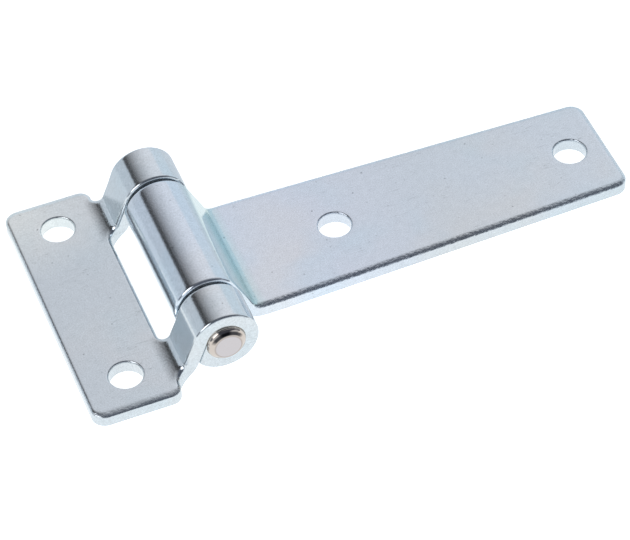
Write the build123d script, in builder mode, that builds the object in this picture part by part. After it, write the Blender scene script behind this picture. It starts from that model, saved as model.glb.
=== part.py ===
from build123d import *
import math
import os

# Toolbox hinge of folded steel sheet, in millimetres, open and lying flat on its mounting face.
# The origin is the middle of the short leaf's two holes, on the underside.
# +X runs to the end of the strap, +Y along the pin and +Z up to the knuckles.

# Sheet and bolt holes
sheet_thickness = 3.0
bolt_hole_diameter = 7.0
rolled_edge = 0.6
rolled_hole_edge = 0.35

# Pin and knuckles
pin_diameter = 8.0
pin_axis_x = 20.0
pin_axis_z = 7.9
pin_overhang = 1.4
pin_chamfer_length = 0.9
pin_chamfer_depth = 1.1
running_clearance = 0.05
bend_inner_radius = 2.0
bend_lead = 0.8
curl_end_gap = 0.2

# Short leaf
shoulder_width = 4.7
short_leaf_margin = 9.4
short_leaf_edge_x = 9.2
short_leaf_hole_spacing = 43.5
short_leaf_corner_radius = 3.0
shoulder_corner_share = 0.52
shoulder_notch_share = 0.4
window_corner_radius = 1.6
ear_width = 9.7

# Strap leaf
strap_knuckle_width = 30.6
strap_taper_lead = 4.0
strap_taper_blend_radius = 80.0
knuckle_side_gap = 0.8
strap_near_hole_x = 52.8
strap_hole_spacing = 52.8
strap_end_margin = 7.9
strap_end_width = 26.0
strap_corner_radius = 3.0

# Sizes that follow from the ones above
bolt_hole_radius = bolt_hole_diameter / 2
pin_radius = pin_diameter / 2
ear_bore_radius = pin_radius
strap_bore_radius = pin_radius + running_clearance
bend_distance = pin_axis_x - short_leaf_edge_x + bend_lead
ear_inner_y = strap_knuckle_width / 2 + knuckle_side_gap
ear_outer_y = ear_inner_y + ear_width
short_leaf_width = 2 * (ear_outer_y + shoulder_width)
shoulder_corner_radius = shoulder_corner_share * shoulder_width
shoulder_notch_radius = shoulder_notch_share * shoulder_width
strap_taper_x = pin_axis_x + bend_distance + strap_taper_lead
strap_end_x = strap_near_hole_x + strap_hole_spacing + strap_end_margin
height_limit = pin_axis_z + 2 * (pin_radius + sheet_thickness)


def rolled_section(plate_reach, bore_radius):
    """Section of a leaf, with the pin axis at (0, 0) and the plate on the left as far as plate_reach.

    The sheet bends up from the plate, runs straight as a web and curls over the pin and round under it.
    """
    outer_radius = bore_radius + sheet_thickness
    bend_centre = (-bend_distance, sheet_thickness + bend_inner_radius - pin_axis_z)
    rise = math.atan2(-bend_centre[1], -bend_centre[0])
    crossing = math.asin((bend_inner_radius + outer_radius) / math.hypot(*bend_centre))
    web_angle = math.degrees(rise + crossing)
    # The curl ends where its outer corner is curl_end_gap from the underside of the web.
    curl_angle = 360 - math.degrees(math.acos((bore_radius - curl_end_gap) / outer_radius))
    with BuildSketch() as section:
        with BuildLine():
            bend_top = CenterArc(bend_centre, bend_inner_radius, -90, web_angle)
            bend_under = CenterArc(bend_centre, bend_inner_radius + sheet_thickness, -90, web_angle)
            curl_outside = CenterArc((0, 0), outer_radius, 90 + web_angle, -curl_angle)
            curl_bore = CenterArc((0, 0), bore_radius, 90 + web_angle, -curl_angle)
            Line(bend_top @ 1, curl_outside @ 0)
            Line(bend_under @ 1, curl_bore @ 0)
            Line(curl_outside @ 1, curl_bore @ 1)
            Polyline(
                bend_top @ 0,
                (-plate_reach, sheet_thickness - pin_axis_z),
                (-plate_reach, -pin_axis_z),
                bend_under @ 0,
            )
        make_face()
    return section.sketch


def on_upper_skin(face, bore_radius):
    """True for the sheet's upper skin: top of the plate, inside of the bend, web and outside of the curl."""
    outer_radius = bore_radius + sheet_thickness
    middle = face.center()
    normal = face.normal_at(middle)
    if face.geom_type == GeomType.CYLINDER:
        curled = abs(face.radius - outer_radius) < 0.001 or abs(face.radius - bend_inner_radius) < 0.001
        return curled and abs(face.axis_of_rotation.direction.Y) > 0.99
    if normal.Z > 0.99:
        return abs(middle.Z - sheet_thickness) < 0.001
    from_axis = middle - Vector(pin_axis_x, 0, pin_axis_z)
    return abs(normal.Y) < 0.01 and abs(from_axis.dot(normal) - outer_radius) < 0.001


def upper_rim(leaf, bore_radius):
    """Edges that bound the upper skin, where the punch has rolled the sheet's edge over."""
    edges = [edge for face in leaf.faces() if on_upper_skin(face, bore_radius) for edge in face.edges()]
    return [edge for edge in edges if sum(edge.is_same(other) for other in edges) == 1]


def hole_rims(leaf):
    """Top rims of the bolt holes."""
    top_edges = leaf.edges().filter_by_position(Axis.Z, sheet_thickness - 0.001, sheet_thickness + 0.001)
    return [edge for edge in top_edges.filter_by(GeomType.CIRCLE) if abs(edge.radius - bolt_hole_radius) < 0.001]


# Short leaf: one folded sheet, with a plate on two bolts and two ears rolled over the ends of the pin
with BuildPart() as short_leaf:
    with BuildSketch(Plane((pin_axis_x, 0, pin_axis_z), x_dir=(1, 0, 0), z_dir=(0, -1, 0))):
        add(rolled_section(pin_axis_x + short_leaf_margin, ear_bore_radius))
    extrude(amount=short_leaf_width / 2, both=True)
    with BuildSketch(Plane.XY) as short_leaf_outline:
        with Locations((-short_leaf_margin, 0)):
            Rectangle(short_leaf_margin + short_leaf_edge_x, short_leaf_width, align=(Align.MIN, Align.CENTER))
        fillet(short_leaf_outline.vertices().group_by(Axis.X)[0], short_leaf_corner_radius)
        fillet(short_leaf_outline.vertices().group_by(Axis.X)[-1], shoulder_corner_radius)
        with Locations((short_leaf_edge_x, ear_inner_y), (short_leaf_edge_x, -ear_outer_y)):
            Rectangle(2 * bend_distance, ear_width, align=(Align.MIN, Align.MIN))
        for root_y, root_radius in ((ear_inner_y, window_corner_radius), (ear_outer_y, shoulder_notch_radius)):
            for side in (-1, 1):
                root = short_leaf_outline.vertices().sort_by_distance((short_leaf_edge_x, side * root_y, 0))[0]
                fillet(root, root_radius)
    extrude(amount=height_limit, mode=Mode.INTERSECT)
    chamfer(upper_rim(short_leaf, ear_bore_radius), rolled_edge)
    with Locations(
        (0, -short_leaf_hole_spacing / 2, sheet_thickness),
        (0, short_leaf_hole_spacing / 2, sheet_thickness),
    ):
        Hole(bolt_hole_radius, depth=sheet_thickness)
    chamfer(hole_rims(short_leaf), rolled_hole_edge)

# Strap leaf: one folded sheet, with a tapered strap and a single knuckle rolled over the middle of the pin
with BuildPart() as strap_leaf:
    with BuildSketch(Plane((pin_axis_x, 0, pin_axis_z), x_dir=(-1, 0, 0), z_dir=(0, 1, 0))):
        add(rolled_section(strap_end_x - pin_axis_x, strap_bore_radius))
    extrude(amount=strap_knuckle_width / 2, both=True)
    with BuildSketch(Plane.XY) as strap_outline:
        with BuildLine():
            Polyline(
                (strap_end_x, strap_end_width / 2),
                (strap_taper_x, strap_knuckle_width / 2),
                (0, strap_knuckle_width / 2),
                (0, -strap_knuckle_width / 2),
                (strap_taper_x, -strap_knuckle_width / 2),
                (strap_end_x, -strap_end_width / 2),
                close=True,
            )
        make_face()
        fillet(strap_outline.vertices().group_by(Axis.X)[1], strap_taper_blend_radius)
        fillet(strap_outline.vertices().group_by(Axis.X)[-1], strap_corner_radius)
    extrude(amount=height_limit, mode=Mode.INTERSECT)
    chamfer(upper_rim(strap_leaf, strap_bore_radius), rolled_edge)
    with Locations(
        (strap_near_hole_x, 0, sheet_thickness),
        (strap_near_hole_x + strap_hole_spacing, 0, sheet_thickness),
    ):
        Hole(bolt_hole_radius, depth=sheet_thickness)
    chamfer(hole_rims(strap_leaf), rolled_hole_edge)

# Hinge pin: a plain rod with chamfered ends, pressed into both ears
with BuildPart() as hinge_pin:
    with BuildSketch(Plane((pin_axis_x, 0, pin_axis_z), x_dir=(1, 0, 0), z_dir=(0, -1, 0))):
        Circle(pin_radius)
    extrude(amount=ear_outer_y + pin_overhang, both=True)
    chamfer(hinge_pin.edges().filter_by(GeomType.CIRCLE), length=pin_chamfer_length, length2=pin_chamfer_depth)

short_leaf.part.label = "short_leaf"
strap_leaf.part.label = "strap_leaf"
hinge_pin.part.label = "hinge_pin"

os.makedirs("parts", exist_ok=True)
export_step(short_leaf.part, "parts/short_leaf.step")
export_step(strap_leaf.part, "parts/strap_leaf.step")
export_step(hinge_pin.part, "parts/hinge_pin.step")
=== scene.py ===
import bmesh
import bpy
import math
import numpy as np
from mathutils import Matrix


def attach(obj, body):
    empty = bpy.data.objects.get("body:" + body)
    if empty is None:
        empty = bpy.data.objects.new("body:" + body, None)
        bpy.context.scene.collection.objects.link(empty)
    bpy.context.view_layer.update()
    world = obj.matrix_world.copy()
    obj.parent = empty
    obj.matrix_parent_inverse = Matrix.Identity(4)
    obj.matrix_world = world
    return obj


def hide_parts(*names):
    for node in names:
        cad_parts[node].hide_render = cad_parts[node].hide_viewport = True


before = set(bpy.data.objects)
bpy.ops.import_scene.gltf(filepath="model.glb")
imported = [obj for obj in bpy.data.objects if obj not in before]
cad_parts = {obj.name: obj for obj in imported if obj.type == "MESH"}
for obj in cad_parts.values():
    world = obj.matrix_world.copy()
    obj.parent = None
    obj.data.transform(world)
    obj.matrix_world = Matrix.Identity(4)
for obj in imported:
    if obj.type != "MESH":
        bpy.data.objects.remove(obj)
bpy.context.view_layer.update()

# Short leaf: one steel sheet, blanked with two bolt holes and two ears, then folded and rolled.
# The punch has rounded the upper edges over, and the ears are curled round the ends of the pin.
# Lengths are in millimetres, and MM turns them into the metres of the scene.
MM = 0.001
sheet_thickness = 3.0
pin_axis_x = 20.0
pin_height = 7.9
pin_radius = 4.0
bend_radius = 2.0
wide_bend_angle = math.radians(34.0)
curl_end_gap = 0.1
curl_end_ease = 10.0
roll_flatness = 0.64
web_roll_width = 1.0
web_roll_depth = 0.8
knuckle_roll_width = 0.6
knuckle_roll_depth = 0.5
end_roll = 0.15
plate_roll_end = 1.0
web_roll_start = 5.0
web_roll_end = 8.0
knuckle_roll_start = 12.0
tail_roll_length = 8.0
end_corner_radius = 0.5
hole_radius = 3.45
hole_roll = 0.38
under_edge_radius = 0.2
under_edge_limit = 0.6
wall_start = 1.3
sharp_angle = math.radians(50.0)
weld_distance = 0.001
line_steps = 6000
arc_steps = 12
roll_steps = 14
under_edge_steps = 3
strip_steps = 120
strip_columns = 4
cell_columns = 18
tip_columns = 2


def seam_turn(radius, bore_radius):
    """Turn about the pin that is left open at a radius, where the curl ends along the web's underside."""
    return np.arccos((bore_radius - curl_end_gap) / radius)


def fold_line(bore_radius, bend_distance, wide_bend_radius):
    """Run, advance, rise and lean of a sheet's upper skin from the start of its bend, and its end's run.

    The web is the cross tangent from the bend's circle to the knuckle's, as in the solids. The lean goes
    up through a wide and a tight arc, stays along the web and goes back evenly over the pin. The advance
    from the pin axis and the rise above the plate are the running sums of its cosine and sine. The line
    goes on past the end of the skin, because the end is cut on the slant and the bore side reaches further.
    """
    outer_radius = bore_radius + sheet_thickness
    lift = pin_height - sheet_thickness - bend_radius
    crossing = math.asin((bend_radius + outer_radius) / math.hypot(bend_distance, lift))
    web_angle = math.atan2(lift, bend_distance) + crossing
    curl_angle = 2 * math.pi - seam_turn(bore_radius, bore_radius)
    wide_rise = wide_bend_radius * (1 - math.cos(wide_bend_angle))
    tight_rise = bend_radius * (math.cos(wide_bend_angle) - math.cos(web_angle))
    web_rise = pin_height - sheet_thickness + outer_radius * math.cos(web_angle) - wide_rise - tight_rise
    lengths = [
        wide_bend_radius * wide_bend_angle,
        bend_radius * (web_angle - wide_bend_angle),
        web_rise / math.sin(web_angle),
        outer_radius * curl_angle,
    ]
    marks = np.cumsum([0] + lengths)
    run = np.linspace(0, marks[-1], line_steps + 1)
    lean = np.interp(run, marks, [0, wide_bend_angle, web_angle, web_angle, web_angle - curl_angle])
    middle = (lean[1:] + lean[:-1]) / 2
    advance = np.concatenate([[0], np.cumsum(np.cos(middle))]) * run[1]
    rise = np.concatenate([[0], np.cumsum(np.sin(middle))]) * run[1]
    bend_start = -outer_radius * math.sin(web_angle) - np.interp(marks[3], run, advance)
    end_run = marks[3] + outer_radius * (2 * math.pi - seam_turn(outer_radius, bore_radius))
    return run, bend_start + advance, rise, lean, end_run


def fold_for(line, bore_radius, bent_share):
    """Function that folds a flat sheet along a fold line, with its plate on the left of the pin axis.

    A place on the sheet is its run along the upper skin, its place across and its depth below that skin.
    The skin is level up to run 0 and follows the line from there, and the depth is taken along its normal.
    bent_share gives how much of this fold the sheet has at a place across it, and the rest stays level.
    """
    line_run, line_advance, line_rise, line_lean, end_run = line
    outer_radius = bore_radius + sheet_thickness

    def fold(run, across, depth):
        level = line_advance[0] + run
        slant = seam_turn(outer_radius, bore_radius) - seam_turn(outer_radius - depth, bore_radius)
        run = run + outer_radius * slant * np.clip(1 + (run - end_run) / curl_end_ease, 0, 1)
        lean = np.interp(run, line_run, line_lean)
        advance = np.minimum(run, 0) + np.interp(run, line_run, line_advance)
        bent = bent_share(across)
        x = bent * (advance + depth * np.sin(lean)) + (1 - bent) * level
        z = bent * (np.interp(run, line_run, line_rise) - depth * np.cos(lean)) - (1 - bent) * depth
        return np.stack([x, across + 0 * x, sheet_thickness + z], axis=-1)

    return fold


def rounded_outline(corners):
    """Closed line through corners of (run, across, radius, steps to the next), anticlockwise from above.

    Each corner is an arc that touches both of its sides, and the sides are cut into even steps.
    Gives the points, their inward normals, and the first and last index of every corner.
    """
    places = np.array([corner[:2] for corner in corners])
    ahead = np.roll(places, -1, axis=0) - places
    ahead = ahead / np.linalg.norm(ahead, axis=1)[:, None]
    behind = np.roll(ahead, 1, axis=0)
    sideways = behind[:, 0] * ahead[:, 1] - behind[:, 1] * ahead[:, 0]
    turns = np.arctan2(sideways, (behind * ahead).sum(axis=1))
    radii = np.array([corner[2] for corner in corners])
    trims = radii * np.tan(np.abs(turns) / 2)
    starts = places - behind * trims[:, None]
    ends = places + ahead * trims[:, None]
    points, normals, first, last = [], [], [], []
    count = 0
    for number, (_, _, radius, steps) in enumerate(corners):
        swing = turns[number] * np.linspace(0, 1, arc_steps + 1 if radius else 1)
        inward = np.array([-behind[number][1], behind[number][0]])
        arc_normals = np.stack(
            [
                inward[0] * np.cos(swing) - inward[1] * np.sin(swing),
                inward[0] * np.sin(swing) + inward[1] * np.cos(swing),
            ],
            axis=1,
        )
        towards = radius * np.sign(turns[number])
        arc = starts[number] + towards * (inward - arc_normals)
        share = np.linspace(0, 1, steps + 1)[1:-1, None]
        side = (1 - share) * ends[number] + share * starts[(number + 1) % len(corners)]
        side_normal = np.array([-ahead[number][1], ahead[number][0]])
        points += [arc, side]
        normals += [arc_normals, np.broadcast_to(side_normal, side.shape)]
        first.append(count)
        last.append(count + len(arc) - 1)
        count += len(arc) + len(side)
    return np.concatenate(points), np.concatenate(normals), first, last


def stretch(points, start, end):
    """Points of a closed line from one index to another, going on past its end to its beginning."""
    last_index = end if end >= start else end + len(points)
    return points[np.arange(start, last_index + 1) % len(points)]


def roll_along(run, plate_roll, web_roll, knuckle_roll, end_run):
    """Width or depth of the rolled edge at a run along the sheet, in straight steps between four values.

    It is as on the plate up to the bend, goes over to the web's, to the knuckle's and to that of the end.
    """
    marks = (web_roll_end, knuckle_roll_start, end_run - tail_roll_length, end_run)
    folded_roll = np.interp(run, marks, (web_roll, knuckle_roll, knuckle_roll, end_roll))
    folded_share = np.interp(run, (plate_roll_end, web_roll_start), (0, 1))
    return plate_roll + (folded_roll - plate_roll) * folded_share


def edge_band(points, normals, widths, depths, fold):
    """The punched edge: its section carried along a closed line, inset along the line's inward normals.

    The section goes along the underside, round a small quarter circle, up the straight wall and over the
    roll to the upper skin. The roll sags as a parabola from the skin and turns down into the wall, as a
    quarter of a flattened ellipse. A row of points just above the quarter circle keeps the wall flat.
    """
    quarter = np.linspace(0, math.pi / 2, under_edge_steps + 1)
    reach = np.cos(np.linspace(0, math.pi / 2, roll_steps + 1))
    radii = np.minimum(under_edge_radius, under_edge_limit * widths)[:, None]
    widths = widths[:, None]
    no_inset = np.zeros_like(widths)
    inset = np.concatenate([widths, radii * (1 - np.sin(quarter)), no_inset, widths * (1 - reach)], axis=1)
    underside = np.full_like(widths, sheet_thickness)
    under_edge = sheet_thickness - radii * np.append(1 - np.cos(quarter), wall_start)
    roll = depths[:, None] * (1 - (1 - reach**2) ** roll_flatness)
    below = np.concatenate([underside, under_edge, roll], axis=1)
    places = points[:, None, :] + inset[:, :, None] * normals[:, None, :]
    closed = np.arange(len(points) + 1) % len(points)
    return fold(places[closed, :, 0], places[closed, :, 1], below[closed])


def between(first_line, second_line, columns):
    """Flat grid between two lines of as many points, in even columns."""
    share = np.linspace(0, 1, columns + 1)[None, :, None]
    return (1 - share) * first_line[:, None, :] + share * second_line[:, None, :]


def skins(grid, fold):
    """Upper and lower skin over a flat grid, the lower one turned over so that it faces down."""
    upper = fold(grid[..., 0], grid[..., 1], 0.0)
    lower = fold(grid[..., 0], grid[..., 1], sheet_thickness)
    return [upper, lower[:, ::-1]]


def holed_cell(boundary, centre, fold):
    """Part of a plate round one bolt hole: rays from a closed boundary to the hole, and the hole's edge."""
    rays = boundary - centre
    rays = rays / np.linalg.norm(rays, axis=1)[:, None]
    ring = centre + (hole_radius + hole_roll) * rays
    closed = np.arange(len(boundary) + 1) % len(boundary)
    plate = between(boundary[closed], ring[closed], cell_columns)
    rolls = np.full(len(boundary), hole_roll)
    rim = edge_band((centre + hole_radius * rays)[::-1], rays[::-1], rolls, rolls, fold)
    return skins(plate, fold) + [rim]


def welded(name, patches, place):
    """One closed mesh from grids of points, moved by place and joined where the grids' edges meet."""
    vertices, faces, count = [], [], 0
    for patch in patches:
        rows, columns = patch.shape[:2]
        index = count + np.arange(rows * columns).reshape(rows, columns)
        quads = np.stack([index[:-1, :-1], index[1:, :-1], index[1:, 1:], index[:-1, 1:]], axis=-1)
        vertices.append(place(patch.reshape(-1, 3)) * MM)
        faces.append(quads.reshape(-1, 4))
        count += rows * columns
    mesh = bpy.data.meshes.new(name)
    mesh.from_pydata(np.concatenate(vertices), [], np.concatenate(faces).tolist())
    build = bmesh.new()
    build.from_mesh(mesh)
    bmesh.ops.remove_doubles(build, verts=build.verts, dist=weld_distance * MM)
    build.to_mesh(mesh)
    build.free()
    mesh.shade_smooth()
    mesh.set_sharp_from_angle(angle=sharp_angle)
    piece = bpy.data.objects.new(name, mesh)
    bpy.context.collection.objects.link(piece)
    return piece


short_margin = 9.4
short_half_width = 30.5
short_edge_x = 9.2
short_roll_width = 0.8
short_roll_depth = 0.6
side_roll_width = 2.0
ear_bend_distance = 11.05
ear_bend_radius = 6.0
short_hole_y = 21.75
ear_inner_y = 16.1
ear_outer_y = 25.8
short_corner_radius = 3.0
shoulder_radius = 2.44
notch_radius = 1.88
window_radius = 1.6
root_ease = 2.3
side_steps = 36
shoulder_steps = 2
window_steps = 60
end_steps = 100
cut_columns = 36
ear_line = fold_line(pin_radius, ear_bend_distance, ear_bend_radius)
ear_tail_run = ear_line[4]
short_hole_run = -pin_axis_x - ear_line[1][0]
short_edge_run = short_hole_run + short_edge_x
short_end_run = short_hole_run - short_margin


def ear_share(across):
    """1 across each ear, easing to 0 beside it, so that only the ears are folded up out of the plate."""
    inside = np.clip((np.abs(across) - ear_inner_y + root_ease) / root_ease, 0, 1)
    outside = np.clip((ear_outer_y + root_ease - np.abs(across)) / root_ease, 0, 1)
    return inside**2 * (3 - 2 * inside) * outside**2 * (3 - 2 * outside)


ear_fold = fold_for(ear_line, pin_radius, ear_share)
# The corners go round from the front left: 2 to 5 are the front ear's, and 6 to 9 the back ear's.
outline, inward, first, last = rounded_outline(
    [
        (short_end_run, -short_half_width, short_corner_radius, side_steps),
        (short_edge_run, -short_half_width, shoulder_radius, shoulder_steps),
        (short_edge_run, -ear_outer_y, notch_radius, strip_steps),
        (ear_tail_run, -ear_outer_y, end_corner_radius, strip_columns),
        (ear_tail_run, -ear_inner_y, end_corner_radius, strip_steps),
        (short_edge_run, -ear_inner_y, window_radius, window_steps),
        (short_edge_run, ear_inner_y, window_radius, strip_steps),
        (ear_tail_run, ear_inner_y, end_corner_radius, strip_columns),
        (ear_tail_run, ear_outer_y, end_corner_radius, strip_steps),
        (short_edge_run, ear_outer_y, notch_radius, shoulder_steps),
        (short_edge_run, short_half_width, shoulder_radius, side_steps),
        (short_end_run, short_half_width, short_corner_radius, end_steps),
    ]
)
plate_rolls = short_roll_width + (side_roll_width - short_roll_width) * inward[:, 1] ** 2
roll_widths = roll_along(outline[:, 0], plate_rolls, web_roll_width, knuckle_roll_width, ear_tail_run)
roll_depths = roll_along(outline[:, 0], short_roll_depth, web_roll_depth, knuckle_roll_depth, ear_tail_run)
inner = outline + roll_widths[:, None] * inward
end_middle = last[11] + end_steps // 2
window_middle = last[5] + window_steps // 2
ear_columns = 2 * arc_steps + strip_columns
ear_sides = stretch(inner, first[2], first[3]), stretch(inner, last[4], last[5])[::-1]
ear_grid = between(*ear_sides, ear_columns)
ear_tip = between(stretch(inner, first[3], last[4]), ear_grid[-1], tip_columns)
cut_across = between(inner[window_middle][None], inner[end_middle][None], cut_columns)[0]
front_boundary = np.concatenate(
    [
        stretch(inner, end_middle, first[2]),
        ear_grid[0, 1:-1],
        stretch(inner, last[5], window_middle),
        cut_across[1:-1],
    ]
)
front_patches = skins(ear_grid, ear_fold) + skins(ear_tip, ear_fold)
front_patches += holed_cell(front_boundary, np.array([short_hole_run, -short_hole_y]), ear_fold)
mirror_across = np.array([1, -1, 1])
back_patches = [(patch * mirror_across)[:, ::-1] for patch in front_patches]
rim = edge_band(outline, inward, roll_widths, roll_depths, ear_fold)


def on_short_side(points):
    """Moves a leaf from the pin axis to its place, with the plate on the left."""
    return points + np.array([pin_axis_x, 0, 0])


short_leaf = welded("short_leaf_sheet", front_patches + back_patches + [rim], on_short_side)


def object_place(tree):
    """Place on the piece, from its Object coordinates."""
    return tree.nodes.new("ShaderNodeTexCoord").outputs["Object"]


def feed(tree, socket, source):
    """Gives a socket its value: a link from another node, or a plain number, place or colour."""
    if isinstance(source, bpy.types.NodeSocket):
        tree.links.new(source, socket)
    else:
        socket.default_value = source


def axes_of(tree, place):
    """The three coordinates of a place or direction."""
    node = tree.nodes.new("ShaderNodeSeparateXYZ")
    tree.links.new(place, node.inputs[0])
    return node.outputs["X"], node.outputs["Y"], node.outputs["Z"]


def worked_out(tree, operation, *values):
    """Result of one operation on plain values."""
    node = tree.nodes.new("ShaderNodeMath")
    node.operation = operation
    for socket, value in zip(node.inputs, values):
        feed(tree, socket, value)
    return node.outputs[0]


def product(tree, first_value, second_value):
    """Product of two values."""
    return worked_out(tree, "MULTIPLY", first_value, second_value)


def vectors_worked_out(tree, operation, first_vector, second_vector, result):
    """Named result of one operation on two vectors: its Value or its Vector."""
    node = tree.nodes.new("ShaderNodeVectorMath")
    node.operation = operation
    feed(tree, node.inputs[0], first_vector)
    feed(tree, node.inputs[1], second_vector)
    return node.outputs[result]


def spread(tree, value, low, high, to_low=0.0, to_high=1.0):
    """A value carried evenly from one range to another, and held at its ends."""
    node = tree.nodes.new("ShaderNodeMapRange")
    node.inputs["From Min"].default_value = low
    node.inputs["From Max"].default_value = high
    node.inputs["To Min"].default_value = to_low
    node.inputs["To Max"].default_value = to_high
    tree.links.new(value, node.inputs["Value"])
    return node.outputs["Result"]


def mixed(tree, share, first_colour, second_colour, blend="MIX"):
    """Two colours mixed, or multiplied, by a share from 0 to 1.

    Of the node's many sockets, inputs 6 and 7 and output 2 are the ones for colours.
    """
    node = tree.nodes.new("ShaderNodeMix")
    node.data_type = "RGBA"
    node.blend_type = blend
    feed(tree, node.inputs["Factor"], share)
    feed(tree, node.inputs[6], first_colour)
    feed(tree, node.inputs[7], second_colour)
    return node.outputs[2]


def noise(tree, place, scale, detail):
    """Soft noise about 0.5, with its scale in cells to the metre."""
    node = tree.nodes.new("ShaderNodeTexNoise")
    node.inputs["Scale"].default_value = scale
    node.inputs["Detail"].default_value = detail
    tree.links.new(place, node.inputs["Vector"])
    return node.outputs["Fac"]


scratch_scale = 90.0
scratch_length = 14.0
scratch_width = 0.006
scratch_detail = 1.0
scratch_patches = (0.58, 0.66)


def scratches(tree, place, turn, patch_scale):
    """Mask of scratches that run one way: the middle contour of a drawn-out noise, in patches of another."""
    drawn_out = tree.nodes.new("ShaderNodeMapping")
    drawn_out.inputs["Rotation"].default_value = (0.0, 0.0, turn)
    drawn_out.inputs["Scale"].default_value = (1.0, scratch_length, scratch_length)
    tree.links.new(place, drawn_out.inputs["Vector"])
    lines = noise(tree, drawn_out.outputs["Vector"], scratch_scale, scratch_detail)
    contour = worked_out(tree, "COMPARE", lines, 0.5, scratch_width)
    patches = spread(tree, noise(tree, place, patch_scale, scratch_detail), *scratch_patches)
    return product(tree, contour, patches)


warm_cloud_scale = 38.0
warm_cloud_range = (0.48, 0.72)
cool_cloud_scale = 61.0
cool_cloud_range = (0.50, 0.75)
grain_scale = 3000.0
grain_shades = (0.91, 1.05)
mottle_scale = 700.0
mottle_shades = (0.96, 1.02)
noise_range = (0.3, 0.7)
soft_detail = 2.0
rough_detail = 4.0
pit_scale = 520.0
pit_reach = (0.05, 0.14)
pit_draw = (0.7, 1.0)
pit_shade = 0.45
scratch_turns = (0.45, 2.2)
scratch_patch_scales = (130.0, 170.0)
scratch_shade = 0.8
dent_scale = 1400.0
plate_roughness = (0.09, 0.16)
worn_edge_roughness = 0.14
worn_edge_foot = (2.2, 2.5)
worn_edge_top = (2.85, 2.97)
rolled_heights = (3.5, 6.0)
rolled_grain = 0.4


def plated_finish():
    """Node group of the zinc plate: tinted clouds, a fine grain, pits, scratches and worn, dented edges.

    The clouds mix three colours, and the grain, mottle, pits and scratches darken them by products. The
    worn edge is a band of heights at the plate's upper edge, which is rougher and has dents in its height.
    """
    group = bpy.data.node_groups.new("plated_finish", "ShaderNodeTree")
    for label in ("Plate colour", "Warm colour", "Cool colour"):
        group.interface.new_socket(label, in_out="INPUT", socket_type="NodeSocketColor")
    group.interface.new_socket("Dents", in_out="INPUT", socket_type="NodeSocketFloat")
    group.interface.new_socket("Colour", in_out="OUTPUT", socket_type="NodeSocketColor")
    for label in ("Roughness", "Height"):
        group.interface.new_socket(label, in_out="OUTPUT", socket_type="NodeSocketFloat")
    given = group.nodes.new("NodeGroupInput").outputs
    result = group.nodes.new("NodeGroupOutput").inputs
    place = object_place(group)
    height = axes_of(group, place)[2]

    warm_cloud = spread(group, noise(group, place, warm_cloud_scale, soft_detail), *warm_cloud_range)
    cool_cloud = spread(group, noise(group, place, cool_cloud_scale, soft_detail), *cool_cloud_range)
    colour = mixed(group, warm_cloud, given["Plate colour"], given["Warm colour"])
    colour = mixed(group, cool_cloud, colour, given["Cool colour"])
    cells = group.nodes.new("ShaderNodeTexVoronoi")
    cells.inputs["Scale"].default_value = pit_scale
    group.links.new(place, cells.inputs["Vector"])
    cell_draw = group.nodes.new("ShaderNodeSeparateColor")
    group.links.new(cells.outputs["Color"], cell_draw.inputs[0])
    pit_depth = spread(group, cell_draw.outputs[0], *pit_draw)
    pits = product(group, spread(group, cells.outputs["Distance"], *pit_reach, 1.0, 0.0), pit_depth)
    grain = noise(group, place, grain_scale, soft_detail)
    mottle = noise(group, place, mottle_scale, rough_detail)
    shade = spread(group, grain, *noise_range, *grain_shades)
    shade = product(group, shade, spread(group, pits, 0.0, 1.0, 1.0, pit_shade))
    shade = product(group, shade, spread(group, mottle, *noise_range, *mottle_shades))
    for turn, patch_scale in zip(scratch_turns, scratch_patch_scales):
        scratched = scratches(group, place, turn, patch_scale)
        shade = product(group, shade, spread(group, scratched, 0.0, 1.0, 1.0, scratch_shade))
    group.links.new(mixed(group, 1.0, colour, shade, "MULTIPLY"), result["Colour"])

    above_wall = spread(group, height, worn_edge_foot[0] * MM, worn_edge_foot[1] * MM)
    below_skin = spread(group, height, worn_edge_top[0] * MM, worn_edge_top[1] * MM, 1.0, 0.0)
    worn_edge = product(group, above_wall, below_skin)
    dullness = spread(group, worn_edge, 0.0, 1.0, 0.0, worn_edge_roughness)
    roughness = spread(group, grain, *noise_range, *plate_roughness)
    group.links.new(worked_out(group, "ADD", roughness, dullness), result["Roughness"])
    dents = spread(group, noise(group, place, dent_scale, rough_detail), 0.0, 1.0, -1.0, 1.0)
    dents = product(group, dents, product(group, worn_edge, given["Dents"]))
    grain_depth = spread(group, height, rolled_heights[0] * MM, rolled_heights[1] * MM, 1.0, rolled_grain)
    bumps = product(group, grain, grain_depth)
    group.links.new(worked_out(group, "ADD", bumps, dents), result["Height"])
    return group


zinc_finish = plated_finish()
zinc_metallic = 0.88
grain_bump = 0.4
grain_bump_depth = 0.06


def zinc_material(name, plate_colour, warm_colour, cool_colour, dents, tint):
    """Metal in the plated finish, tinted over the piece by its own function, with its height as a bump."""
    material = bpy.data.materials.new(name)
    material.use_nodes = True
    tree = material.node_tree
    shader = tree.nodes["Principled BSDF"]
    shader.inputs["Metallic"].default_value = zinc_metallic
    finish = tree.nodes.new("ShaderNodeGroup")
    finish.node_tree = zinc_finish
    finish.inputs["Plate colour"].default_value = plate_colour
    finish.inputs["Warm colour"].default_value = warm_colour
    finish.inputs["Cool colour"].default_value = cool_colour
    finish.inputs["Dents"].default_value = dents
    bump = tree.nodes.new("ShaderNodeBump")
    bump.inputs["Strength"].default_value = grain_bump
    bump.inputs["Distance"].default_value = grain_bump_depth * MM
    colour = tint(tree, object_place(tree), finish.outputs["Colour"])
    tree.links.new(colour, shader.inputs["Base Color"])
    tree.links.new(finish.outputs["Roughness"], shader.inputs["Roughness"])
    tree.links.new(finish.outputs["Height"], bump.inputs["Height"])
    tree.links.new(bump.outputs["Normal"], shader.inputs["Normal"])
    return material


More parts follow.
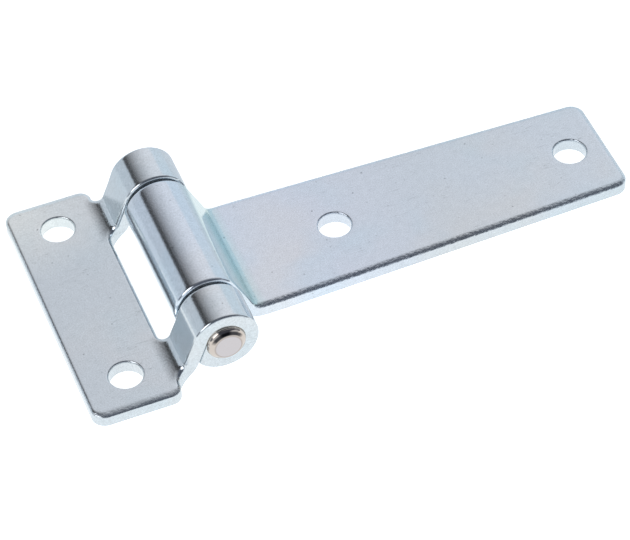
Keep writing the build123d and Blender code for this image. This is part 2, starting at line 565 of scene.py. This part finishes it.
short_plate_colour = (0.735, 0.80, 0.835, 1.0)
short_warm_colour = (0.79, 0.82, 0.83, 1.0)
short_cool_colour = (0.72, 0.81, 0.85, 1.0)
short_dents = 2.2
pale_corner = (-7.0 * MM, 29.0 * MM, 3.0 * MM)
pale_reach = (20.0, 2.0)
pale_tint = (1.25, 1.20, 1.12, 1.0)


def pale_corner_tint(tree, place, colour):
    """The short leaf's colour, paler towards its back left corner by its distance from there."""
    distance = vectors_worked_out(tree, "DISTANCE", place, pale_corner, "Value")
    share = spread(tree, distance, pale_reach[0] * MM, pale_reach[1] * MM)
    return mixed(tree, share, colour, pale_tint, "MULTIPLY")


short_zinc = zinc_material(
    "short_leaf_zinc",
    short_plate_colour,
    short_warm_colour,
    short_cool_colour,
    short_dents,
    pale_corner_tint,
)
short_leaf.data.materials.append(short_zinc)
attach(short_leaf, "short_leaf")
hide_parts("short_leaf")

# Strap leaf: one steel sheet of the same stock, blanked as a tapered strap with two holes on its axis.
# Its wide end is folded up and curled round the middle of the pin, with a running fit.
strap_bore_radius = 4.05
strap_end_x = 113.5
strap_hole_places = (52.8, 105.6)
strap_end_half_width = 13.0
knuckle_half_width = 15.3
taper_x = 35.6
taper_blend_radius = 80.0
strap_corner_radius = 3.0
strap_roll_width = 1.5
strap_roll_depth = 0.8
middle_roll_width = 0.8
middle_roll_depth = 0.6
strap_columns = 12
strap_bend_distance = 11.45
strap_bend_radius = 2.5
fold_start_run = 0.3
far_side_steps = 60
near_side_steps = 80
fold_lead_steps = 4
strap_end_steps = 50
strap_cut_columns = 50
strap_line = fold_line(strap_bore_radius, strap_bend_distance, strap_bend_radius)
strap_tail_run = strap_line[4]
flat_reach = pin_axis_x - strap_line[1][0]
taper_run = flat_reach - taper_x
strap_end_run = flat_reach - strap_end_x
near_hole_run, far_hole_run = [flat_reach - place for place in strap_hole_places]
cut_run = (near_hole_run + far_hole_run) / 2
cut_half_width = np.interp(cut_run, (strap_end_run, taper_run), (strap_end_half_width, knuckle_half_width))
strap_fold = fold_for(strap_line, strap_bore_radius, np.ones_like)
# The corners go round from the far end: 1 and 8 lie between the holes, and 3 to 6 are the knuckle's.
outline, inward, first, last = rounded_outline(
    [
        (strap_end_run, -strap_end_half_width, strap_corner_radius, far_side_steps),
        (cut_run, -cut_half_width, 0, near_side_steps),
        (taper_run, -knuckle_half_width, taper_blend_radius, fold_lead_steps),
        (fold_start_run, -knuckle_half_width, 0, strip_steps),
        (strap_tail_run, -knuckle_half_width, end_corner_radius, strap_columns),
        (strap_tail_run, knuckle_half_width, end_corner_radius, strip_steps),
        (fold_start_run, knuckle_half_width, 0, fold_lead_steps),
        (taper_run, knuckle_half_width, taper_blend_radius, near_side_steps),
        (cut_run, cut_half_width, 0, far_side_steps),
        (strap_end_run, strap_end_half_width, strap_corner_radius, strap_end_steps),
    ]
)
roll_widths = roll_along(outline[:, 0], strap_roll_width, web_roll_width, middle_roll_width, strap_tail_run)
roll_depths = roll_along(outline[:, 0], strap_roll_depth, web_roll_depth, middle_roll_depth, strap_tail_run)
inner = outline + roll_widths[:, None] * inward
knuckle_columns = 2 * arc_steps + strap_columns
knuckle_sides = stretch(inner, first[3], first[4]), stretch(inner, last[5], last[6])[::-1]
knuckle_grid = between(*knuckle_sides, knuckle_columns)
knuckle_tip = between(stretch(inner, first[4], last[5]), knuckle_grid[-1], tip_columns)
cut_line = between(inner[first[1]][None], inner[first[8]][None], strap_cut_columns)[0]
near_boundary = np.concatenate(
    [
        stretch(inner, first[1], first[3]),
        knuckle_grid[0, 1:-1],
        stretch(inner, first[6], first[8]),
        cut_line[::-1][1:-1],
    ]
)
far_boundary = np.concatenate([stretch(inner, first[8], first[1]), cut_line[1:-1]])
patches = skins(knuckle_grid, strap_fold) + skins(knuckle_tip, strap_fold)
patches += holed_cell(near_boundary, np.array([near_hole_run, 0.0]), strap_fold)
patches += holed_cell(far_boundary, np.array([far_hole_run, 0.0]), strap_fold)
patches += [edge_band(outline, inward, roll_widths, roll_depths, strap_fold)]


def on_strap_side(points):
    """Moves a leaf from the pin axis to its place, turned half round so that the plate is on the right."""
    return points * np.array([-1, -1, 1]) + np.array([pin_axis_x, 0, 0])


strap_leaf = welded("strap_sheet", patches, on_strap_side)
strap_plate_colour = (0.80, 0.88, 0.97, 1.0)
strap_warm_colour = (0.84, 0.88, 0.92, 1.0)
strap_cool_colour = (0.75, 0.88, 0.98, 1.0)
strap_dents = 4.5
tint_start_x = 20.0
tint_end_x = 105.0
wall_fade = (15.2, 14.6)
# The teal at the fold is a painted reflection, mixed into the strap's colour.
painted_teal_reflection = (0.66, 0.81, 0.75, 1.0)
strap_tints_and_painted_reflection = (
    (0.05, (0.93, 0.925, 0.91, 1.0)),
    (0.075, painted_teal_reflection),
    (0.115, painted_teal_reflection),
    (0.15, (1.0, 1.0, 1.0, 1.0)),
    (0.35, (0.955, 0.935, 0.93, 1.0)),
    (0.65, (0.885, 0.885, 0.855, 1.0)),
)


def colour_ramp(tree, value, stops):
    """Colours along a value, mixed evenly between stops of (value, colour) that go from low to high."""
    node = tree.nodes.new("ShaderNodeValToRGB")
    elements = node.color_ramp.elements
    elements[0].position, elements[0].color = stops[0]
    elements[1].position, elements[1].color = stops[-1]
    for position, colour in stops[1:-1]:
        elements.new(position).color = colour
    tree.links.new(value, node.inputs["Fac"])
    return node.outputs["Color"]


def strap_tint_and_painted_reflection(tree, place, colour):
    """The strap's colour, tinted along its length, with a painted teal reflection at the fold and plain
    walls beside the fold.
    """
    x, y, _ = axes_of(tree, place)
    along = spread(tree, x, tint_start_x * MM, tint_end_x * MM)
    from_middle_line = worked_out(tree, "ABSOLUTE", y)
    off_the_walls = spread(tree, from_middle_line, wall_fade[0] * MM, wall_fade[1] * MM)
    return mixed(tree, off_the_walls, colour, colour_ramp(tree, along, strap_tints_and_painted_reflection), "MULTIPLY")


strap_zinc = zinc_material(
    "strap_zinc",
    strap_plate_colour,
    strap_warm_colour,
    strap_cool_colour,
    strap_dents,
    strap_tint_and_painted_reflection,
)
strap_leaf.data.materials.append(strap_zinc)
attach(strap_leaf, "strap_leaf")
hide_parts("strap_leaf")

# Hinge pin: a plain steel rod, turned with a chamfer at each end and pressed into the two ears.
# Its ends are bare steel, a little warmer than the plate round them, with a painted dark reflection in black
# on the top of the chamfer.
pin_half_length = 27.2
pin_chamfer_length = 0.9
pin_chamfer_depth = 1.1
pin_edge_radius = 0.7
pin_steps = 96
pin_end_steps = 6
pin_chamfer_steps = 3
pin_side_steps = 24
# The corners of its half section are (place along the pin, radius, rounding, steps to the next).
pin_line = rounded_outline(
    [
        (-pin_half_length, 0.0, 0, pin_end_steps),
        (-pin_half_length, pin_radius - pin_chamfer_depth, pin_edge_radius, pin_chamfer_steps),
        (pin_chamfer_length - pin_half_length, pin_radius, pin_edge_radius, pin_side_steps),
        (pin_half_length - pin_chamfer_length, pin_radius, pin_edge_radius, pin_chamfer_steps),
        (pin_half_length, pin_radius - pin_chamfer_depth, pin_edge_radius, pin_end_steps),
        (pin_half_length, 0.0, 0, 1),
    ]
)[0]


def turned(line):
    """Rod turned from a line of (place along the pin, radius), carried once round the pin axis."""
    angle = np.linspace(0, 2 * math.pi, pin_steps + 1)[:, None]
    along, radius = line.T
    x = radius * np.cos(angle)
    z = pin_height + radius * np.sin(angle)
    return np.stack([x, along + 0 * x, z], axis=-1)


hinge_pin = welded("pin_rod", [turned(pin_line)[:, ::-1]], on_short_side)
pin_roughness = 0.06
pin_axis = (pin_axis_x * MM, 0.0, pin_height * MM)
section_axes = (1.0, 0.0, 1.0)
black_start = 1.3
black_full = 2.1
black = (0.0, 0.0, 0.0, 1.0)
white = (1.0, 1.0, 1.0, 1.0)
painted_reflection_black = (0.08, 0.075, 0.075, 1.0)
# Colours across the pin's end by reach from its axis; the darker ring at 0.69 is painted shade of the
# rounded edge into the chamfer.
pin_colours_with_painted_shade_ring = (
    (0.63, (0.60, 0.565, 0.57, 1.0)),
    (0.69, (0.47, 0.42, 0.39, 1.0)),
    (0.76, (0.63, 0.56, 0.50, 1.0)),
)
painted_reflection_band = ((0.73, black), (0.78, white), (0.87, white), (0.92, black))
pin_steel = bpy.data.materials.new("pin_steel")
pin_steel.use_nodes = True
pin_tree = pin_steel.node_tree
pin_shader = pin_tree.nodes["Principled BSDF"]
pin_shader.inputs["Metallic"].default_value = 1.0
pin_shader.inputs["Roughness"].default_value = pin_roughness
pin_place = object_place(pin_tree)
pin_section = vectors_worked_out(pin_tree, "MULTIPLY", pin_place, section_axes, "Vector")
from_axis = vectors_worked_out(pin_tree, "DISTANCE", pin_section, pin_axis, "Value")
pin_reach = spread(pin_tree, from_axis, 0.0, pin_radius * MM)
pin_level = axes_of(pin_tree, pin_place)[2]
# The black on the upper part of the chamfer band is a painted dark reflection, set by height above the pin
# axis.
painted_reflection_top = spread(pin_tree, pin_level, (pin_height + black_start) * MM, (pin_height + black_full) * MM)
painted_reflection_share = product(pin_tree, painted_reflection_top, colour_ramp(pin_tree, pin_reach, painted_reflection_band))
pin_colour = mixed(pin_tree, painted_reflection_share, colour_ramp(pin_tree, pin_reach, pin_colours_with_painted_shade_ring), painted_reflection_black)
pin_tree.links.new(pin_colour, pin_shader.inputs["Base Color"])
hinge_pin.data.materials.append(pin_steel)
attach(hinge_pin, "short_leaf")
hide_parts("hinge_pin")

# Floor: a plain white sheet of paper that the hinge lies on.
# It is white to the camera and in reflections, bluer behind the hinge as the light falls off there.
# A share of plain diffuse shading keeps the hinge's soft shadow on it.
floor_reach = 3000.0 * MM
floor_level = -0.2 * MM
floor_colour = (0.9, 0.9, 0.9, 1.0)
seen_strength = 0.88
near_mirrored_colour = (1.06, 1.09, 1.12, 1.0)
far_mirrored_colour = (0.72, 0.78, 0.85, 1.0)
far_floor_start = 24.0
far_floor_full = 34.0
floor_mesh = bpy.data.meshes.new("floor")
floor_mesh.from_pydata(
    [
        (-floor_reach, -floor_reach, floor_level),
        (floor_reach, -floor_reach, floor_level),
        (floor_reach, floor_reach, floor_level),
        (-floor_reach, floor_reach, floor_level),
    ],
    [],
    [(0, 1, 2, 3)],
)
floor = bpy.data.objects.new("floor", floor_mesh)
bpy.context.collection.objects.link(floor)
floor_paint = bpy.data.materials.new("floor_white")
floor_paint.use_nodes = True
floor_tree = floor_paint.node_tree
floor_tree.nodes.clear()
floor_rays = floor_tree.nodes.new("ShaderNodeLightPath").outputs
floor_diffuse = floor_tree.nodes.new("ShaderNodeBsdfDiffuse")
floor_diffuse.inputs["Color"].default_value = floor_colour
seen_glow = floor_tree.nodes.new("ShaderNodeEmission")
seen_glow.inputs["Strength"].default_value = seen_strength
seen_floor = floor_tree.nodes.new("ShaderNodeAddShader")
floor_tree.links.new(seen_glow.outputs[0], seen_floor.inputs[0])
floor_tree.links.new(floor_diffuse.outputs[0], seen_floor.inputs[1])
floor_depth = axes_of(floor_tree, object_place(floor_tree))[1]
far_floor = spread(floor_tree, floor_depth, far_floor_start * MM, far_floor_full * MM)
mirrored_colour = mixed(floor_tree, far_floor, near_mirrored_colour, far_mirrored_colour)
mirrored_glow = floor_tree.nodes.new("ShaderNodeEmission")
floor_tree.links.new(mirrored_colour, mirrored_glow.inputs["Color"])
camera_mix = floor_tree.nodes.new("ShaderNodeMixShader")
floor_tree.links.new(floor_rays["Is Camera Ray"], camera_mix.inputs["Fac"])
floor_tree.links.new(floor_diffuse.outputs[0], camera_mix.inputs[1])
floor_tree.links.new(seen_floor.outputs[0], camera_mix.inputs[2])
glossy_mix = floor_tree.nodes.new("ShaderNodeMixShader")
floor_tree.links.new(floor_rays["Is Glossy Ray"], glossy_mix.inputs["Fac"])
floor_tree.links.new(camera_mix.outputs[0], glossy_mix.inputs[1])
floor_tree.links.new(mirrored_glow.outputs[0], glossy_mix.inputs[2])
floor_out = floor_tree.nodes.new("ShaderNodeOutputMaterial")
floor_tree.links.new(glossy_mix.outputs[0], floor_out.inputs["Surface"])
floor_mesh.materials.append(floor_paint)

# Studio: a dark room, with a wide soft light behind on the right and a low pale backdrop behind.
# A low sheet of paper in front and a small lamp on the left brighten the rolled edges and the corners.
# Each limit is a coordinate of a direction of length 1, or the cosine of its angle to a light.
softbox_azimuth = math.radians(50.0)
softbox_elevation = math.radians(40.0)
towards_softbox = (
    math.sin(softbox_azimuth) * math.cos(softbox_elevation),
    math.cos(softbox_azimuth) * math.cos(softbox_elevation),
    math.sin(softbox_elevation),
)
softbox_rim = 0.40
softbox_middle = 0.97
softbox_fade = (-0.3, 0.50)
softbox_colour = (0.88, 0.885, 0.94, 1.0)
room_behind_colour = (0.012, 0.009, 0.007, 1.0)
room_front_colour = (0.06, 0.07, 0.095, 1.0)
room_front = (0.3, -0.1)
paper_front = (-0.2, -0.5)
paper_edge = math.sin(math.radians(27.0))
paper_full = math.sin(math.radians(20.0))
paper_colour = (0.66, 0.70, 0.76, 1.0)
backdrop_full = math.sin(math.radians(26.5))
backdrop_edge = math.sin(math.radians(28.0))
backdrop_start = (-0.05, 0.15)
backdrop_sides = (-0.3, 0.4)
backdrop_left_colour = (0.61, 0.66, 0.73, 1.0)
backdrop_right_colour = (0.73, 0.82, 0.91, 1.0)
towards_lamp = (-0.75, -0.28, 0.60)
lamp_rim = 0.93
lamp_middle = 0.97
lamp_colour = (2.4, 2.4, 2.5, 1.0)
world = bpy.data.worlds.new("studio")
bpy.context.scene.world = world
world.use_nodes = True
studio = world.node_tree
direction = studio.nodes.new("ShaderNodeTexCoord").outputs["Generated"]
rightward, backward, upward = axes_of(studio, direction)
room_share = spread(studio, backward, *room_front)
studio_colour = mixed(studio, room_share, room_behind_colour, room_front_colour)
front_paper = spread(studio, upward, paper_edge, paper_full)
front_paper = product(studio, front_paper, spread(studio, backward, *paper_front))
studio_colour = mixed(studio, front_paper, studio_colour, paper_colour)
near_softbox = vectors_worked_out(studio, "DOT_PRODUCT", direction, towards_softbox, "Value")
softbox = spread(studio, near_softbox, softbox_rim, softbox_middle)
softbox = product(studio, softbox, spread(studio, backward, *softbox_fade))
studio_colour = mixed(studio, softbox, studio_colour, softbox_colour)
on_the_right = spread(studio, rightward, *backdrop_sides)
backdrop_colour = mixed(studio, on_the_right, backdrop_left_colour, backdrop_right_colour)
backdrop = spread(studio, upward, backdrop_full, backdrop_edge, 1.0, 0.0)
backdrop = product(studio, backdrop, spread(studio, backward, *backdrop_start))
studio_colour = mixed(studio, backdrop, studio_colour, backdrop_colour)
near_lamp = vectors_worked_out(studio, "DOT_PRODUCT", direction, towards_lamp, "Value")
lamp = spread(studio, near_lamp, lamp_rim, lamp_middle)
studio_colour = mixed(studio, lamp, studio_colour, lamp_colour)
studio.links.new(studio_colour, studio.nodes["Background"].inputs["Color"])

# Camera: a long lens about 0.65 m away, looking down on the hinge from the front left.
# Its place and turn are fitted to the photograph, for a picture of 630 by 540.
camera_data = bpy.data.cameras.new("camera")
camera_data.lens = 180.0
camera_data.sensor_width = 36.0
camera = bpy.data.objects.new("camera", camera_data)
camera.location = (-0.09405, -0.42545, 0.46724)
camera.rotation_euler = (math.radians(43.246), math.radians(2.610), math.radians(-21.228))
bpy.context.collection.objects.link(camera)
bpy.context.scene.camera = camera
bpy.context.scene.view_settings.view_transform = "Standard"
